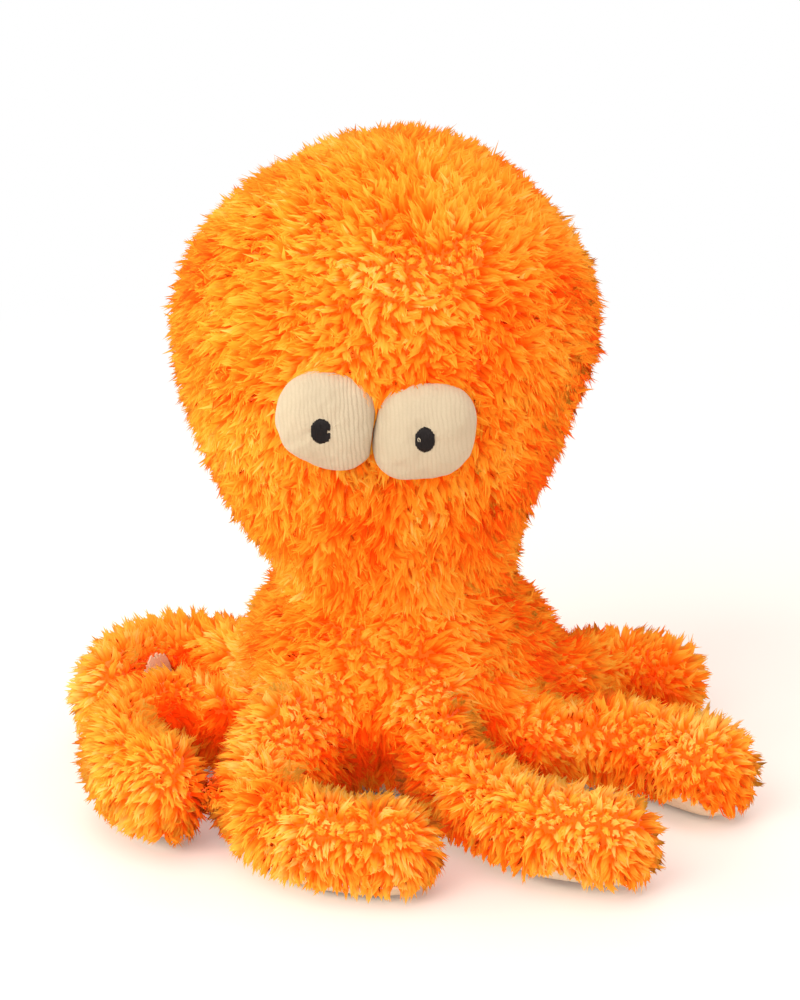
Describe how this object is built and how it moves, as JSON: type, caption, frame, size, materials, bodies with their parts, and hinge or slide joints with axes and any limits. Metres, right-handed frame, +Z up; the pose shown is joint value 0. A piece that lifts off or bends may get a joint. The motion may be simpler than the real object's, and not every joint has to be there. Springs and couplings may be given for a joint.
{
  "type": "plush octopus",
  "caption": "Soft sitting octopus with a bulb-shaped pile head, padded knit eyes and curling stuffed arms around a flat base.",
  "frame": {"origin": "on the floor, in the middle of the flat base panel under the body", "axes": "+Z up, the face looks towards -Y, +X to the right of someone who looks at the face"},
  "size_m": [0.2413, 0.2579, 0.2253],
  "materials": {
    "orange_pile": "shaggy long pile",
    "cream_nap": "smooth short nap",
    "cream_knit": "ribbed knit",
    "black_thread": "satin stitch",
    "white_fibre": "loose fibre filling"
  },
  "bodies": {
    "body": {"body_cover": "orange_pile", "body_stuffing": "white_fibre", "base_panel": "cream_nap"},
    "head": {"head_gore_front_left": "orange_pile", "head_gore_front_right": "orange_pile", "head_gore_back_left": "orange_pile", "head_gore_back_right": "orange_pile", "head_stuffing": "white_fibre", "eye_left_cover": "cream_knit", "eye_left_stuffing": "white_fibre", "eye_left_pupil": "black_thread", "eye_right_cover": "cream_knit", "eye_right_stuffing": "white_fibre", "eye_right_pupil": "black_thread"},
    "arm_1": {"arm_1_cover": "orange_pile", "arm_1_sole": "cream_nap", "arm_1_stuffing": "white_fibre"},
    "arm_2": {"arm_2_cover": "orange_pile", "arm_2_sole": "cream_nap", "arm_2_stuffing": "white_fibre"},
    "arm_3": {"arm_3_cover": "orange_pile", "arm_3_sole": "cream_nap", "arm_3_stuffing": "white_fibre"},
    "arm_4": {"arm_4_cover": "orange_pile", "arm_4_sole": "cream_nap", "arm_4_stuffing": "white_fibre"},
    "arm_5": {"arm_5_cover": "orange_pile", "arm_5_sole": "cream_nap", "arm_5_stuffing": "white_fibre"},
    "arm_6": {"arm_6_cover": "orange_pile", "arm_6_sole": "cream_nap", "arm_6_stuffing": "white_fibre"},
    "arm_7": {"arm_7_cover": "orange_pile", "arm_7_sole": "cream_nap", "arm_7_stuffing": "white_fibre"},
    "arm_8": {"arm_8_cover": "orange_pile", "arm_8_sole": "cream_nap", "arm_8_stuffing": "white_fibre"}
  },
  "joints": [
    {"name": "head_nod", "type": "hinge", "parent": "body", "child": "head", "pos_m": [0, 0, 0.098], "axis": [1, 0, 0], "range_deg": [-15, 15], "stiffness_Nm_per_rad": 0.4},
    {"name": "arm_1_lift", "type": "hinge", "parent": "body", "child": "arm_1", "pos_m": [-0.04958, 0.02805, 0.018], "axis": [0.4924, 0.8704, 0], "range_deg": [-25, 32], "stiffness_Nm_per_rad": 0.03},
    {"name": "arm_2_lift", "type": "hinge", "parent": "body", "child": "arm_2", "pos_m": [-0.05489, -0.01522, 0.018], "axis": [-0.2672, 0.9636, 0], "range_deg": [-25, 32], "stiffness_Nm_per_rad": 0.03},
    {"name": "arm_3_lift", "type": "hinge", "parent": "body", "child": "arm_3", "pos_m": [-0.02805, -0.04958, 0.018], "axis": [-0.8704, 0.4924, 0], "range_deg": [-25, 32], "stiffness_Nm_per_rad": 0.03},
    {"name": "arm_4_lift", "type": "hinge", "parent": "body", "child": "arm_4", "pos_m": [0.01522, -0.05489, 0.018], "axis": [-0.9636, -0.2672, 0], "range_deg": [-25, 32], "stiffness_Nm_per_rad": 0.03},
    {"name": "arm_5_lift", "type": "hinge", "parent": "body", "child": "arm_5", "pos_m": [0.04958, -0.02805, 0.018], "axis": [-0.4924, -0.8704, 0], "range_deg": [-25, 32], "stiffness_Nm_per_rad": 0.03},
    {"name": "arm_6_lift", "type": "hinge", "parent": "body", "child": "arm_6", "pos_m": [0.05489, 0.01522, 0.018], "axis": [0.2672, -0.9636, 0], "range_deg": [-25, 32], "stiffness_Nm_per_rad": 0.03},
    {"name": "arm_7_lift", "type": "hinge", "parent": "body", "child": "arm_7", "pos_m": [0.02805, 0.04958, 0.018], "axis": [0.8704, -0.4924, 0], "range_deg": [-25, 32], "stiffness_Nm_per_rad": 0.03},
    {"name": "arm_8_lift", "type": "hinge", "parent": "body", "child": "arm_8", "pos_m": [-0.01522, 0.05489, 0.018], "axis": [0.9636, 0.2672, 0], "range_deg": [-25, 32], "stiffness_Nm_per_rad": 0.03}
  ]
}
